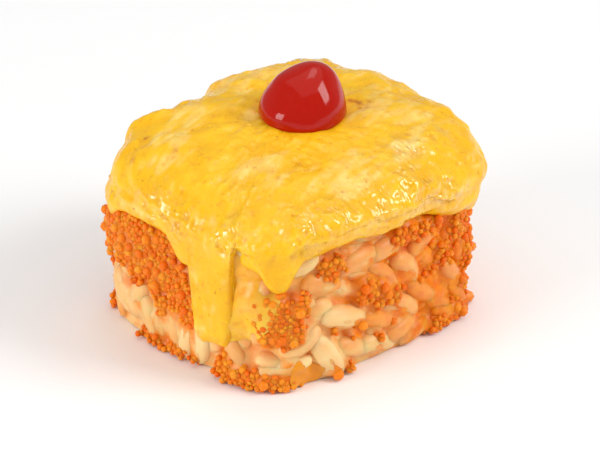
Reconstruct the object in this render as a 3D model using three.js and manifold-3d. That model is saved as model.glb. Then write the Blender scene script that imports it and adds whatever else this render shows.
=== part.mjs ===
// One piece of baked sushi roll, standing on its cut end: a pressed block of rice and flying-fish roe,
// a thick baked sauce cap that has run down its sides, and a dot of red sauce on top.
// Millimetres, +Z up. The origin is on the floor, under the middle of the block.
// Seen over its front corner, -Y is the face on the right and -X the face on the left, with the long drip.
import * as THREE from "three";
import { mergeVertices } from "three/addons/utils/BufferGeometryUtils.js";
import Module from "manifold-3d";

const wasm = await Module();
wasm.setup();

// The bare core of packed rice, before any grain stands out of it.
const block = { halfX: 20.1, halfY: 17.7, squareness: 4.2, height: 24, edgeRound: 3 };
// Cooked short-grain rice. Lift is how far a grain's middle lies outside the core's side.
const rice = { length: 7, width: 3, thickness: 2.6, lift: -0.15, spacing: 2.6, tries: 9000 };
// The eggs of the roe, between the grains. Sink is how deep an egg is pressed into the rice.
const roe = { radius: 0.78, sink: 0.3, spacing: 1.7, tries: 4000, wanted: 110 };
// The sauce cap: its crown, how far it stands out, its usual rim height and the clearance over the core.
const cap = { top: 28.3, widest: 22, overhang: 2.7, rim: 19, rimThickness: 2.5, lip: 2.1, gap: 0.4 };
// The crown's curve, how it rises towards the back corner, how far the cap leans to the right corner,
// and how far it is pressed in at the left one.
const dome = { plan: 3, section: 2.3, rise: 0.09, lean: 0.5, pressed: 1.7 };
// Over a run the cap's widest line sags: half of the most when the run is as deep as the second number.
const sag = { most: 3.4, halfAt: 3, reach: 5 };
// Corners of the block as compass angles: the one that faces the viewer, and those to its right and left.
const frontCorner = 227;
const rightCorner = 317;
const leftCorner = 141;
// Where the rim runs lower: compass angle in degrees, drop below the usual rim, half-width in degrees.
const runs = [
  { at: 202.3, drop: 13.9, half: 7.4 },
  { at: 188, drop: 3.9, half: 9 },
  { at: 214, drop: 2.1, half: 14 },
  { at: 223.4, drop: 3.9, half: 4.4 },
  { at: 172, drop: 1.6, half: 24 },
  { at: 141, drop: 3.4, half: 12 },
  { at: 318, drop: 2.6, half: 30 },
  { at: 320, drop: 3.6, half: 11 },
  { at: 358, drop: 1.7, half: 12 },
  { at: 26, drop: 5.6, half: 7 },
  { at: 46, drop: 3.2, half: 14 },
  { at: 92, drop: 7.6, half: 5.5 },
  { at: 108, drop: 2.8, half: 13 },
];
// The dot of sauce: where its foot is centred, its size, where it is widest, and how its peak leans.
const dot = { x: 1.2, y: -0.5, radius: 5.7, height: 6.6, shoulder: 0.5, lean: 1.3, leanAngle: -44, gap: 0.35 };
const columns = { block: 60, cap: 74, dot: 20 };
const seed = 20;
// Joining leaves slivers. Edges shorter than this are closed up and flatter triangles are turned.
const sliver = { edge: 0.07, height: 0.02, passes: 8 };

const turn = 2 * Math.PI;
const radians = (degrees) => (degrees * Math.PI) / 180;
const mix = (a, b, t) => a + (b - a) * t;
const smooth = (t) => t * t * (3 - 2 * t);
const steps = (count, from = 1) => Array.from({ length: count + 1 - from }, (_, i) => (i + from) / count);

// Repeatable draws between 0 and 1.
function drawsFrom(start) {
  let state = start;
  return () => {
    state = (Math.imul(state, 1664525) + 1013904223) >>> 0;
    return state / 2 ** 32;
  };
}

// The core's outline seen from above, as a radius for a compass angle: a squarish oval, a little uneven.
function outline(angle) {
  const x = Math.abs(Math.cos(angle)) / block.halfX;
  const y = Math.abs(Math.sin(angle)) / block.halfY;
  const even = (x ** block.squareness + y ** block.squareness) ** (-1 / block.squareness);
  return even + 0.3 * Math.sin(3 * angle + 0.8) + 0.2 * Math.sin(5 * angle + 2.1);
}

// Height at which the core's side starts to round in to its top.
const straightTop = block.height - block.edgeRound;

// A point of the core's profile, as radius and height, standing off it by a gap.
// The way along the profile is measured from the top of the straight side, downwards as a negative number.
function coreProfile(angle, way, gap = 0) {
  const bend = Math.max(0, way) / block.edgeRound;
  const z = straightTop + Math.min(0, way) + block.edgeRound * Math.sin(bend);
  const radius = outline(angle) - block.edgeRound * (1 - Math.cos(bend));
  return [radius + gap * Math.cos(bend), z + gap * Math.sin(bend)];
}

// The way along the profile at a height.
function wayAt(z) {
  const over = z - straightTop;
  return over < 0 ? over : block.edgeRound * Math.asin(Math.min(1, over / block.edgeRound));
}

// The shortest way round from one compass angle to another, in degrees.
function apart(angle, degrees) {
  const away = ((angle * 180) / Math.PI - degrees) % 360;
  return ((away + 540) % 360) - 180;
}

// The rim's height: the deepest run wins, softly, so that neighbours don't add up.
function rimHeight(angle) {
  const pulls = runs.map((run) => run.drop * Math.exp(-((apart(angle, run.at) / run.half) ** 4)));
  const drop = pulls.reduce((sum, pull) => sum + pull ** 3, 0) ** (1 / 3);
  return cap.rim - drop + 0.35 * Math.sin(9 * angle + 0.5);
}

// How far the cap's widest line hangs below its usual height.
function sagAt(angle) {
  const drop = Math.max(0, cap.rim - rimHeight(angle));
  return (sag.most * drop) / (drop + sag.halfAt);
}

// How far the cap is pressed in, most at the left corner.
function pressedIn(angle) {
  return dome.pressed * Math.exp(-((apart(angle, leftCorner) / 22) ** 2));
}

function widestRadius(angle) {
  const lean = dome.lean * Math.cos(angle - radians(rightCorner));
  return outline(angle) + cap.overhang + lean - pressedIn(angle);
}

// The lip's thickness over the core's side.
function lipThickness(angle) {
  return cap.rimThickness - 0.6 * pressedIn(angle);
}

// The crown above the widest line: a superellipse from the middle outwards, higher towards the back corner.
function crownHeight(angle, radius) {
  const share = Math.min(1, radius / widestRadius(angle));
  const fullness = (1 - share ** dome.plan) ** (1 / dome.section);
  const back = -radius * Math.cos(angle - radians(frontCorner));
  return cap.widest + (cap.top - cap.widest + dome.rise * back) * fullness - sagAt(angle) * share ** sag.reach;
}

function crownAt(x, y) {
  return crownHeight(Math.atan2(y, x), Math.hypot(x, y));
}

// Compass angles with equal steps along the outline, and closer ones where the sauce has run in front.
function stations(count) {
  const fine = 2000;
  const reached = [0];
  for (let i = 0; i < fine; i++) {
    const angle = (turn * (i + 0.5)) / fine;
    const detail = 1 + 1.2 * Math.exp(-((apart(angle, 208) / 24) ** 4));
    reached.push(reached[i] + outline(angle) * detail);
  }
  const found = [];
  for (let i = 0, at = 0; i < count; i++) {
    const wanted = (reached[fine] * i) / count;
    while (reached[at + 1] < wanted) at++;
    found.push((turn * (at + (wanted - reached[at]) / (reached[at + 1] - reached[at]))) / fine);
  }
  return found;
}

// A closed skin of rings: each station's rows run from a point on the axis above to one on the axis below.
function ringed(angles, rowsAt, centre = () => [0, 0]) {
  const strips = angles.map(rowsAt);
  const rows = strips[0].length;
  const position = [];
  const place = (angle, [radius, z]) => {
    const [x, y] = centre(z);
    position.push(x + radius * Math.cos(angle), y + radius * Math.sin(angle), z);
  };
  place(0, strips[0][0]);
  for (let row = 1; row < rows - 1; row++) {
    strips.forEach((strip, i) => place(angles[i], strip[row]));
  }
  place(0, strips[0][rows - 1]);
  const n = angles.length;
  const last = position.length / 3 - 1;
  const index = [];
  for (let i = 0; i < n; i++) {
    const next = (i + 1) % n;
    index.push(0, 1 + i, 1 + next);
    for (let row = 0; row < rows - 3; row++) {
      const a = 1 + row * n + i;
      const b = 1 + row * n + next;
      index.push(a, a + n, b, b, a + n, b + n);
    }
    index.push(last, last - n + next, last - n + i);
  }
  const geometry = new THREE.BufferGeometry();
  geometry.setAttribute("position", new THREE.Float32BufferAttribute(position, 3));
  geometry.setIndex(index);
  return geometry;
}

// The packed rice block without its grains.
function coreGeometry() {
  const overEdge = block.edgeRound * (Math.PI / 2);
  const edge = steps(3).map((share) => share * overEdge).reverse();
  return ringed(stations(columns.block), (angle) => [
    [0, block.height],
    ...edge.map((way) => coreProfile(angle, way)),
    coreProfile(angle, 0),
    coreProfile(angle, -straightTop),
    [0, 0],
  ]);
}

// The cap's outer face, from the middle of the crown to the start of its lip.
function capOutside(angle) {
  const wide = widestRadius(angle);
  const crown = steps(8, 0).map((share) => {
    const radius = wide * Math.sin((share * Math.PI) / 2);
    return [radius, crownHeight(angle, radius)];
  });
  const from = cap.widest - sagAt(angle);
  const to = Math.min(from - 0.5, rimHeight(angle) + cap.lip);
  const flank = steps(4).map((share) => {
    const z = mix(from, to, share);
    return [mix(wide - outline(angle), lipThickness(angle), smooth(share)) + outline(angle), z];
  });
  return [...crown, ...flank];
}

// The lip turns under in a half oval, from the outer face back to the core.
function capLip(angle, start) {
  const depth = start - rimHeight(angle);
  return steps(5).map((share) => {
    const z = start - depth * Math.sin(share * Math.PI);
    const outer = outline(angle) + lipThickness(angle);
    const inner = coreProfile(angle, wayAt(z))[0] + cap.gap;
    return [mix(inner, outer, 0.5 + 0.5 * Math.cos(share * Math.PI)), z];
  });
}

// The underside follows the core at a constant clearance, up its side in one stretch, round its edge
// and over its top.
function capInside(angle, start) {
  const overEdge = block.edgeRound * (Math.PI / 2);
  const bendStart = Math.max(0, wayAt(start));
  const justPast = 0.05;
  const shares = steps(4, 0).map((share) => mix(justPast, 1, share));
  const rows = shares.map((share) => coreProfile(angle, mix(bendStart, overEdge, share), cap.gap));
  const [radius, z] = rows.at(-1);
  return [...rows, [0.5 * radius, z], [0, z]];
}

function capGeometry() {
  return ringed(stations(columns.cap), (angle) => {
    const outside = capOutside(angle);
    const start = outside.at(-1)[1];
    return [...outside, ...capLip(angle, start), ...capInside(angle, start)];
  });
}

// The crown's height under the dot, a clearance above it.
function underDot(angle, radius) {
  return crownAt(dot.x + radius * Math.cos(angle), dot.y + radius * Math.sin(angle)) + dot.gap;
}

// The dot of red sauce: a half oval that follows the crown at its foot and leans the way the nozzle left it.
function dotGeometry() {
  const foot = underDot(0, 0);
  const centre = (z) => {
    const lean = dot.lean * (Math.max(0, z - foot - dot.shoulder) / (dot.height - dot.shoulder)) ** 3;
    return [dot.x + lean * Math.cos(radians(dot.leanAngle)), dot.y + lean * Math.sin(radians(dot.leanAngle))];
  };
  const upper = steps(6, 0).map((share) => {
    const swing = (share * Math.PI) / 2;
    return [Math.sin(swing), dot.shoulder + (dot.height - dot.shoulder) * Math.cos(swing)];
  });
  const lower = [
    [0.985, 0.5 * dot.shoulder],
    [0.93, 0.1 * dot.shoulder],
    [0.84, 0],
    [0.42, 0],
    [0, 0],
  ];
  const angles = steps(columns.dot).map((share) => turn * share);
  const rowsAt = (angle) => [
    ...upper.map(([share, rise]) => {
      return [share * dot.radius, mix(foot, underDot(angle, share * dot.radius), share) + rise];
    }),
    ...lower.map(([share, rise]) => [share * dot.radius, underDot(angle, share * dot.radius) + rise]),
  ];
  return ringed(angles, rowsAt, centre);
}

// A closed three.js geometry as a solid that can be joined and cut.
function solidOf(geometry) {
  const bare = geometry.clone();
  bare.deleteAttribute("normal");
  bare.deleteAttribute("uv");
  const merged = mergeVertices(bare, 1e-4);
  return new wasm.Manifold(
    new wasm.Mesh({
      numProp: 3,
      vertProperties: merged.attributes.position.array,
      triVerts: new Uint32Array(merged.index.array),
    }),
  );
}

// A closed skin as corner points and triangles, that can be mended in place.
function skinOf(solid) {
  const mesh = solid.getMesh();
  const points = steps(mesh.vertProperties.length / 3).map((_, i) => {
    return new THREE.Vector3().fromArray(mesh.vertProperties, 3 * i);
  });
  const triangles = steps(mesh.triVerts.length / 3).map((_, i) => [...mesh.triVerts.slice(3 * i, 3 * i + 3)]);
  const around = points.map(() => new Set());
  triangles.forEach((corners, t) => corners.forEach((corner) => around[corner].add(t)));
  return { points, triangles, around };
}

function normalOf(skin, corners) {
  const [a, b, c] = corners.map((corner) => skin.points[corner]);
  return new THREE.Vector3().crossVectors(b.clone().sub(a), c.clone().sub(a));
}

// A triangle's three edges, each with the corner that faces it, the longest first.
function edgesOf(skin, [a, b, c]) {
  const edges = [[a, b, c], [b, c, a], [c, a, b]];
  const length = ([from, to]) => skin.points[from].distanceTo(skin.points[to]);
  return edges.map((edge) => [...edge, length(edge)]).sort((one, two) => two[3] - one[3]);
}

function heightOf(skin, corners) {
  return normalOf(skin, corners).length() / edgesOf(skin, corners)[0][3];
}

function neighboursOf(skin, corner) {
  return new Set([...skin.around[corner]].flatMap((t) => skin.triangles[t]));
}

// Closes an edge up into its first end, unless that would pinch the skin or fold it over.
function closeUp(skin, keep, drop) {
  const joint = neighboursOf(skin, keep).intersection(neighboursOf(skin, drop));
  if (joint.size !== 4) return false;
  const moved = [...skin.around[drop]].filter((t) => !skin.triangles[t].includes(keep));
  const after = moved.map((t) => skin.triangles[t].map((corner) => (corner === drop ? keep : corner)));
  const folds = moved.some((t, i) => {
    const before = normalOf(skin, skin.triangles[t]);
    return before.dot(normalOf(skin, after[i])) < 0 && heightOf(skin, skin.triangles[t]) > sliver.height;
  });
  if (folds) return false;
  for (const t of skin.around[drop]) {
    for (const corner of skin.triangles[t]) if (corner !== drop) skin.around[corner].delete(t);
  }
  moved.forEach((t, i) => {
    skin.triangles[t] = after[i];
    after[i].forEach((corner) => skin.around[corner].add(t));
  });
  for (const t of skin.around[drop]) if (!moved.includes(t)) skin.triangles[t] = null;
  skin.around[drop].clear();
  return true;
}

// Turns the edge that a flat triangle shares with its neighbour, so that neither stays flat.
function turnEdge(skin, t, [a, b, c]) {
  const other = [...skin.around[a]].find((n) => n !== t && skin.triangles[n].includes(b));
  const d = skin.triangles[other].find((corner) => corner !== a && corner !== b);
  if (neighboursOf(skin, c).has(d)) return false;
  const turned = [[a, d, c], [d, b, c]];
  const facing = normalOf(skin, skin.triangles[other]);
  const flattest = Math.min(heightOf(skin, skin.triangles[t]), heightOf(skin, skin.triangles[other]));
  const worse = turned.some((corners) => {
    return normalOf(skin, corners).dot(facing) <= 0 || heightOf(skin, corners) <= flattest;
  });
  if (worse) return false;
  [t, other].forEach((n, i) => {
    skin.triangles[n].forEach((corner) => skin.around[corner].delete(n));
    skin.triangles[n] = turned[i];
  });
  [t, other].forEach((n) => skin.triangles[n].forEach((corner) => skin.around[corner].add(n)));
  return true;
}

// Takes the slivers out. A corner on the floor is kept before one above it, so that the foot stays flat.
function mendSlivers(skin) {
  const onFloor = (corner) => Math.abs(skin.points[corner].z) < 1e-6;
  for (let pass = 0; pass < sliver.passes; pass++) {
    skin.triangles.forEach((_, t) => {
      if (!skin.triangles[t]) return;
      const [longest, , [from, to, , shortest]] = edgesOf(skin, skin.triangles[t]);
      const [keep, drop] = onFloor(to) ? [to, from] : [from, to];
      const closed = shortest < sliver.edge && closeUp(skin, keep, drop);
      if (!closed && heightOf(skin, skin.triangles[t]) < sliver.height) turnEdge(skin, t, longest);
    });
  }
}

function geometryOf(skin) {
  const used = skin.points.map((_, corner) => corner).filter((corner) => skin.around[corner].size);
  const renumbered = new Map(used.map((corner, i) => [corner, i]));
  const position = used.flatMap((corner) => skin.points[corner].toArray());
  const kept = skin.triangles.filter((corners) => corners);
  const geometry = new THREE.BufferGeometry();
  geometry.setAttribute("position", new THREE.Float32BufferAttribute(position, 3));
  geometry.setIndex(kept.flat().map((corner) => renumbered.get(corner)));
  return geometry;
}

// The core's side unrolled: how far round each compass angle lies, and the way back.
function unroll() {
  const fine = 1440;
  const corner = (i) => {
    const angle = (turn * i) / fine;
    return new THREE.Vector2(Math.cos(angle), Math.sin(angle)).multiplyScalar(outline(angle));
  };
  const reached = [0];
  for (let i = 0; i < fine; i++) reached.push(reached[i] + corner(i).distanceTo(corner(i + 1)));
  const length = reached[fine];
  const angleAt = (distance) => {
    const wanted = ((distance % length) + length) % length;
    const at = Math.max(0, reached.findIndex((d) => d > wanted) - 1);
    return (turn * (at + (wanted - reached[at]) / (reached[at + 1] - reached[at]))) / fine;
  };
  return { length, angleAt };
}
const roundCore = unroll();

// A frame on the core's side: a point, the way along the side, the way out, and up.
function sideFrame(distance, z) {
  const point = (d) => {
    const angle = roundCore.angleAt(d);
    return new THREE.Vector3(Math.cos(angle), Math.sin(angle), 0).multiplyScalar(outline(angle));
  };
  const along = point(distance + 1.2).sub(point(distance - 1.2)).normalize();
  const up = new THREE.Vector3(0, 0, 1);
  return { at: point(distance).setZ(z), along, up, out: new THREE.Vector3().crossVectors(along, up) };
}

// The lowest that the sauce hangs within a short way of a place on the side.
function sauceAbove(distance) {
  const reach = 2.2;
  const near = steps(6, 0).map((share) => mix(-reach, reach, share));
  return Math.min(...near.map((step) => rimHeight(roundCore.angleAt(distance + step))));
}

// The way from one place round the block to another, signed and by the shorter side.
function roundTo(a, b) {
  const away = (((b - a) % roundCore.length) + roundCore.length) % roundCore.length;
  return away > roundCore.length / 2 ? away - roundCore.length : away;
}

// The line of points along a grain's length, as places on the unrolled side.
function spineOf(grain) {
  const reach = 0.5 * (rice.length - rice.width);
  return [-1, -0.5, 0, 0.5, 1].map((share) => [
    grain.distance + share * reach * Math.cos(grain.slope),
    grain.z + share * reach * Math.sin(grain.slope),
  ]);
}

function crosses(a, b) {
  return a.some(([d, z]) => b.some(([e, w]) => Math.hypot(roundTo(d, e), z - w) < rice.spacing));
}

// Rice grains scattered over the bare side below the sauce, none lying across another.
function scatterRice(draw) {
  const placed = [];
  for (let i = 0; i < rice.tries; i++) {
    const grain = {
      distance: draw() * roundCore.length,
      z: 0.6 + draw() * (cap.rim - 1.5),
      slope: (draw() - 0.5) * Math.PI,
      tilt: (draw() - 0.5) * 0.3,
      size: mix(0.86, 1.08, draw()),
      lift: rice.lift + mix(-0.25, 0.25, draw()),
    };
    grain.spine = spineOf(grain);
    const covered = grain.spine.some(([d, z]) => z + 0.5 * rice.width + 0.5 > sauceAbove(d));
    const low = grain.spine.some(([, z]) => z < 0.3);
    if (!covered && !low && !placed.some((other) => crosses(grain.spine, other.spine))) placed.push(grain);
  }
  return placed;
}

// A plump grain with blunt ends and few sides, its length along X.
function grainGeometry() {
  const profile = [
    [0, -0.5],
    [0.37, -0.36],
    [0.5, 0],
    [0.37, 0.36],
    [0, 0.5],
  ];
  const geometry = new THREE.LatheGeometry(
    profile.map(([r, y]) => new THREE.Vector2(r, y)),
    6,
  );
  geometry.rotateZ(-Math.PI / 2);
  geometry.scale(rice.length, rice.width, rice.thickness);
  return geometry;
}

function grainSolid(grain, shape) {
  const frame = sideFrame(grain.distance, grain.z);
  const axis = new THREE.Vector3()
    .addScaledVector(frame.along, Math.cos(grain.slope))
    .addScaledVector(frame.up, Math.sin(grain.slope))
    .addScaledVector(frame.out, grain.tilt)
    .normalize();
  const side = new THREE.Vector3().crossVectors(frame.out, axis).normalize();
  const out = new THREE.Vector3().crossVectors(axis, side);
  const matrix = new THREE.Matrix4().makeBasis(axis, side, out);
  matrix.scale(new THREE.Vector3().setScalar(grain.size));
  matrix.setPosition(frame.at.addScaledVector(frame.out, grain.lift));
  return solidOf(shape.clone().applyMatrix4(matrix));
}

// Whether an egg would touch a grain: both as places on the unrolled side.
function touchesGrain(placed, distance, z) {
  const clear = roe.radius + 0.5 * rice.width;
  return placed.some((grain) => grain.spine.some(([d, up]) => Math.hypot(roundTo(d, distance), up - z) < clear));
}

// Roe is thickest in patches, in a band under the sauce and along the bottom edge.
function roeShare(distance, z) {
  const patch = 0.5 + 0.5 * Math.sin(distance * 0.42 + 1.3) * Math.sin(distance * 0.17 + z * 0.5);
  const band = Math.exp(-(((sauceAbove(distance) - z - 2.5) / 3) ** 2));
  const foot = Math.exp(-((z / 1.8) ** 2));
  return 0.25 * patch + 0.8 * band * patch + 0.75 * foot;
}

function scatterRoe(draw, placed) {
  const beads = [];
  for (let i = 0; i < roe.tries && beads.length < roe.wanted; i++) {
    const distance = draw() * roundCore.length;
    const z = roe.radius + 0.1 + draw() * (cap.rim - 2);
    const wanted = draw() < roeShare(distance, z);
    const covered = z + roe.radius + 0.8 > sauceAbove(distance);
    const crossing = beads.some((b) => Math.hypot(roundTo(b.distance, distance), b.z - z) < roe.spacing);
    if (!wanted || covered || crossing || touchesGrain(placed, distance, z)) continue;
    beads.push({ distance, z, lift: roe.radius - roe.sink });
  }
  return beads;
}

function beadSolid(bead) {
  const frame = sideFrame(bead.distance, bead.z);
  const centre = frame.at.addScaledVector(frame.out, bead.lift);
  const shape = new THREE.IcosahedronGeometry(roe.radius, 0);
  shape.translate(centre.x, centre.y, centre.z);
  return solidOf(shape);
}

// Everything above the floor, as a cutter that leaves the block a flat foot.
function aboveFloor() {
  const room = 100;
  const box = new THREE.BoxGeometry(room, room, room);
  box.translate(0, 0, room / 2);
  return solidOf(box);
}

// Core, grains and roe in one solid, without any scrap that the cut leaves loose.
function blockGeometry() {
  const draw = drawsFrom(seed);
  const placed = scatterRice(draw);
  const beads = scatterRoe(draw, placed);
  const shape = grainGeometry();
  const scattered = [...placed.map((grain) => grainSolid(grain, shape)), ...beads.map(beadSolid)];
  const joined = scattered.reduce((all, next) => all.add(next), solidOf(coreGeometry()));
  const pieces = joined.intersect(aboveFloor()).decompose();
  const skin = skinOf(pieces.reduce((a, b) => (b.volume() > a.volume() ? b : a)));
  mendSlivers(skin);
  return geometryOf(skin);
}

function named(name, geometry, color, roughness) {
  const material = new THREE.MeshStandardMaterial({ color, roughness, metalness: 0 });
  const mesh = new THREE.Mesh(geometry, material);
  mesh.name = name;
  return mesh;
}

const piece = new THREE.Group();
piece.add(named("rice_block", blockGeometry(), 0xe8923a, 0.5));
piece.add(named("sauce_cap", capGeometry(), 0xf6c022, 0.35));
piece.add(named("sauce_dot", dotGeometry(), 0xb01a08, 0.15));

export default piece;
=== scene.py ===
import math

import bpy
import mathutils
import numpy as np
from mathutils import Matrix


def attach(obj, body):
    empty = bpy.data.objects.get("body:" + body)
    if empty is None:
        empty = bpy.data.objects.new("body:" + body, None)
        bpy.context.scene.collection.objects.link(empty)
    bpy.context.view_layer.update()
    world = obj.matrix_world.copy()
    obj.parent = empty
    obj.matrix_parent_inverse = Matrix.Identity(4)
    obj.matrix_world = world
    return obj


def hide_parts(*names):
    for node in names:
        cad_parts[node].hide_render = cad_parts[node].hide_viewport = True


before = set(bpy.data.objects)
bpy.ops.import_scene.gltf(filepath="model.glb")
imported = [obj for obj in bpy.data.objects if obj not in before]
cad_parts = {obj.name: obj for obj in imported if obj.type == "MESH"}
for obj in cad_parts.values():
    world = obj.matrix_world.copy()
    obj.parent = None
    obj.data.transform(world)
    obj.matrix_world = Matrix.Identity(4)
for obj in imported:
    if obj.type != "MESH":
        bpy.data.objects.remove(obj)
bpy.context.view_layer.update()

# one piece of baked sushi roll: shapes in millimetres, compass angles in degrees from +X towards +Y
mm = 0.001

# the block of rice seen from above, as long and wide as the CAD's core
core = dict(halfX=20.1, halfY=17.7, squareness=4.2, height=24.0, edgeRound=3.0,
            frontCorner=227)   # where the corner nearest the camera lies


# smooth random field: cosine waves of nearly one length running every way, added up to unit spread
def waves(points, length, seed, count=22):
    rng = np.random.default_rng(seed)
    way = rng.normal(size=(count, 3))
    way *= (2 * np.pi / length * rng.uniform(0.65, 1.45, count) / np.linalg.norm(way, axis=1))[:, None]
    return np.cos(points @ way.T + rng.uniform(0, 2 * np.pi, count)).sum(-1) * math.sqrt(2 / count)


# rough random field: waves of a length, of half and of a quarter of it, each half as strong as the last
def cloud(points, length, seed):
    return sum(waves(points, length / 2 ** i, seed + i) * 0.5 ** i for i in range(3)) / 1.15


# share from 0 to 1 between two edges, eased at both ends
def ease(value, low, high):
    share = np.clip((value - low) / (high - low), 0, 1)
    return share * share * (3 - 2 * share)


# from a towards b by a share of the way
def mix(a, b, share):
    return a + (b - a) * share


# hump of height one: exp of minus the distance over its half-width, to the power of how blunt it is
def hump(distance, half, blunt=2):
    return np.exp(-np.abs(distance / half) ** blunt)


# signed degrees from a compass angle to an angle in radians, the short way round
def apart(angle, degrees):
    return (np.degrees(angle) - degrees + 540) % 360 - 180


# angle of points round the upright axis, in radians
def angleOf(points):
    return np.arctan2(points[..., 1], points[..., 0])


# vectors brought to length one
def unit(vectors):
    return vectors / np.linalg.norm(vectors, axis=-1, keepdims=True)


# radius of the squarish oval: one over the root of the two powered shares, with two slow waves on it
def outline(angle):
    power = core["squareness"]
    x = np.abs(np.cos(angle)) / core["halfX"]
    y = np.abs(np.sin(angle)) / core["halfY"]
    even = (x ** power + y ** power) ** (-1 / power)
    return even + 0.3 * np.sin(3 * angle + 0.8) + 0.2 * np.sin(5 * angle + 2.1)


# table of points from angle, radius and height
def ringPoints(angle, radius, z):
    angle, radius, z = np.broadcast_arrays(angle, radius, z)
    return np.stack([radius * np.cos(angle), radius * np.sin(angle), z], axis=-1)


# parts of a ring table put one under another, each spread over all columns
def stackRows(columns, *parts):
    return np.vstack([np.broadcast_to(part, (len(part), columns)) for part in parts])


# outward directions of a ring table: across its rows and along its columns, crossed
def ringNormals(grid):
    down = np.gradient(grid, axis=0)
    around = np.roll(grid, -1, axis=1) - np.roll(grid, 1, axis=1)
    normal = np.cross(down, around)
    return normal / (np.linalg.norm(normal, axis=-1, keepdims=True) + 1e-12)


# faces of a ring table whose first and last rows are single points: fans at both ends and quads between
def ringFaces(rows, columns):
    i = np.arange(columns)
    after = (i + 1) % columns
    last = (rows - 2) * columns + 1
    top = np.stack([np.zeros_like(i), 1 + i, 1 + after], axis=1)
    starts = 1 + np.arange(rows - 3)[:, None] * columns
    quads = np.stack([starts + i, starts + columns + i, starts + columns + after, starts + after], axis=-1)
    end = last - columns
    bottom = np.stack([np.full_like(i, last), end + after, end + i], axis=1)
    return top.tolist() + quads.reshape(-1, 4).tolist() + bottom.tolist()


# ring table of points or of numbers as a list, its first and last rows taken once
def ringList(grid):
    return np.concatenate([grid[0, :1], grid[1:-1].reshape(-1, *grid.shape[2:]), grid[-1, :1]])


# object of points in millimetres, with one number a point for each named attribute
def makePiece(name, points, faces, attributes, material, node):
    mesh = bpy.data.meshes.new(name)
    mesh.from_pydata((points * mm).tolist(), [], faces)
    for key, values in attributes.items():
        layer = mesh.attributes.new(key, "FLOAT", "POINT")
        layer.data.foreach_set("value", np.ascontiguousarray(values, dtype=np.float32))
    mesh.polygons.foreach_set("use_smooth", np.ones(len(mesh.polygons), dtype=bool))
    mesh.materials.append(material)
    mesh.update()
    piece = bpy.data.objects.new(name, mesh)
    bpy.context.scene.collection.objects.link(piece)
    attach(piece, "root")
    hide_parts(node)
    print(name, len(mesh.vertices), "points", len(mesh.polygons), "faces")


# object of a ring table, with a table of numbers for each named attribute
def makeRingPiece(name, grid, tables, material, node):
    attributes = {key: ringList(table) for key, table in tables.items()}
    makePiece(name, ringList(grid), ringFaces(*grid.shape[:2]), attributes, material, node)


# sRGB hex as linear light: the lower part divided, the rest a power curve
def hexToLinear(code):
    parts = [int(code[i:i + 2], 16) / 255 for i in (1, 3, 5)]
    return [p / 12.92 if p <= 0.04045 else ((p + 0.055) / 1.055) ** 2.4 for p in parts] + [1.0]


# fills sockets of a node, each with a value or with a link
def fill(tree, node, sockets):
    for key, value in sockets.items():
        if isinstance(value, bpy.types.NodeSocket):
            tree.links.new(value, node.inputs[key])
        else:
            node.inputs[key].default_value = value


# adds a node, sets its options, fills its sockets and gives back one of its outputs
def addNode(tree, kind, sockets=None, output=0, **options):
    node = tree.nodes.new("ShaderNode" + kind)
    for key, value in options.items():
        setattr(node, key, value)
    fill(tree, node, sockets or {})
    return node.outputs[output]


# material with only its shader and output
def newMaterial(name):
    material = bpy.data.materials.new(name)
    material.use_nodes = True
    return material, material.node_tree, material.node_tree.nodes["Principled BSDF"]


# colours laid over one another: each is mixed over all below it by its share
def layColours(tree, lowest, *layers):
    below = hexToLinear(lowest)
    for share, colour in layers:
        above = hexToLinear(colour) if isinstance(colour, str) else colour
        below = addNode(tree, "Mix", {0: share, 6: below, 7: above}, 2, data_type="RGBA")
    return below


# noise of a size in millimetres on the piece's own coordinates: 0 below one edge, the most above the other
def speckle(tree, size, low, high, detail=3.0, most=1.0, stretch=(1, 1, 1), turn=0.0):
    place = addNode(tree, "TexCoord", output="Object")
    place = addNode(tree, "Mapping", {"Vector": place, "Scale": stretch, "Rotation": (0, 0, turn)})
    noise = addNode(tree, "TexNoise", {"Vector": place, "Scale": 1 / (size * mm), "Detail": detail,
                                       "Roughness": 0.55}, output="Fac")
    return addNode(tree, "MapRange", {"Value": noise, "From Min": low, "From Max": high, "To Max": most})


# baked sauce over the top
cap = dict(top=28.3, widest=22.0, rim=19.0,         # heights of the crown, the widest line and the rim
           overhang=2.7, rimThickness=2.5, lip=2.1,
           plan=3.0, section=2.3,                   # powers of the crown's superellipse
           rise=0.09,                               # how much the crown rises for each mm to the back
           lean=0.5, leanAngle=317, pressed=1.7, pressedAngle=141, pressedHalf=22,
           sagMost=3.4, sagHalfAt=3.0, sagReach=5.0,
           besideRun=200.6, betweenRuns=204,        # where it is thinner, by the long run and the lobe
           poleHeight=23.5,                         # where its underside closes inside the block
           closerAngle=208, closerHalf=24,          # where the columns lie closer together
           columns=460, crownRows=96, flankRows=24, lipRows=20,
           pullAngle=14, swell=0.15, lumps=0.045, wrinkles=0.2,
           bubbles=260, pits=40, threads=110, threadHalf=0.6, threadRise=0.1,
           # the two cream colours are dried skin and in part a painted reflection of the overhead light
           # the valley colour is painted shade for the hollows of the relief
           yellow="#F8C41C", amber="#F5BA16", valleyShade="#F0A810", creamAndSheen="#FBD46E", deeperCreamAndSheen="#F9C55A",
           freckles="#E8951A", scorched="#B8560F")

# where the rim runs lower: compass angle, drop in mm, half-width in degrees, and how blunt the run ends
runs = [(199.9, 14.3, 8.6, 10), (188, 3.9, 9, 4), (214, 2.1, 14, 4), (222.6, 4.3, 5.6, 3), (172, 1.6, 24, 4),
        (141, 3.4, 12, 4), (318, 2.6, 30, 4), (320, 3.6, 11, 4), (358, 1.7, 12, 4), (26, 5.6, 7, 4),
        (46, 3.2, 14, 4), (92, 7.6, 5.5, 4), (108, 2.8, 13, 4)]
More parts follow.
